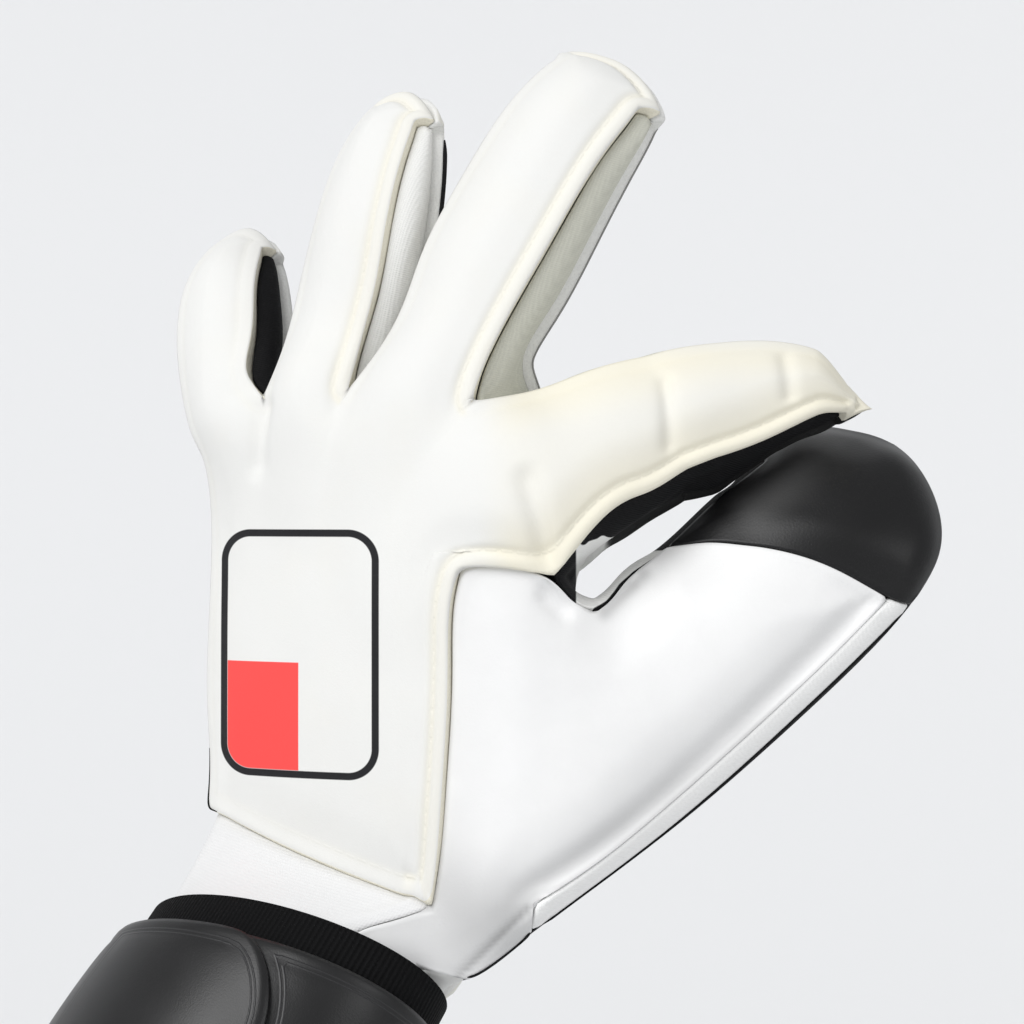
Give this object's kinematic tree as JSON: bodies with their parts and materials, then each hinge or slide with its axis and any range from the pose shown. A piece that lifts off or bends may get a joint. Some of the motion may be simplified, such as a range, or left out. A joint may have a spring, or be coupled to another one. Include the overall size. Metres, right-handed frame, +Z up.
{
  "type": "goalkeeper glove",
  "caption": "Padded soccer goalkeeper glove for the left hand in its worn form, with a bent index finger meeting the thumb, an open wrist tube and a fastened wrap strap.",
  "frame": {"origin": "centre of the wrist opening, where the hand goes in", "axes": "+Z up along the raised hand toward the middle fingertip, +X toward the thumb's tip, -Y toward the viewer who sees the back of the hand from the thumb side"},
  "size_m": [0.2087, 0.0898, 0.272],
  "materials": {
    "back_foam": "white latex foam with a fine matte skin and a cream cut edge",
    "palm_foam": "matte white contact latex with fine open pores",
    "black_cloth": "matte black stretch cloth",
    "light_cloth": "off-white stretch cloth",
    "cream_cloth": "grey-cream stretch cloth",
    "smooth_white": "smooth white sheet with a soft satin sheen",
    "smooth_black": "smooth black sheet with a satin sheen",
    "white_elastic": "matte white elastic cloth",
    "bandage_knit": "matte black ribbed elastic knit",
    "strap_sheet": "smooth black strap with a satin sheen and a stitched hem"
  },
  "bodies": {
    "root": {"back_panel": "back_foam", "palm_latex": "palm_foam", "thumb_latex": "palm_foam", "fourchette_little_ring": "black_cloth", "fourchette_ring_middle": "light_cloth", "fourchette_middle_index": "cream_cloth", "fourchette_index_thumb": "black_cloth", "little_side_gusset": "black_cloth", "thumb_back": "smooth_white", "thumb_cap": "smooth_black", "thumb_side_strip": "light_cloth", "thumb_side_gusset": "black_cloth", "wrist_elastic": "white_elastic", "wrist_bandage": "bandage_knit", "wrist_strap": "strap_sheet"}
  },
  "joints": []
}
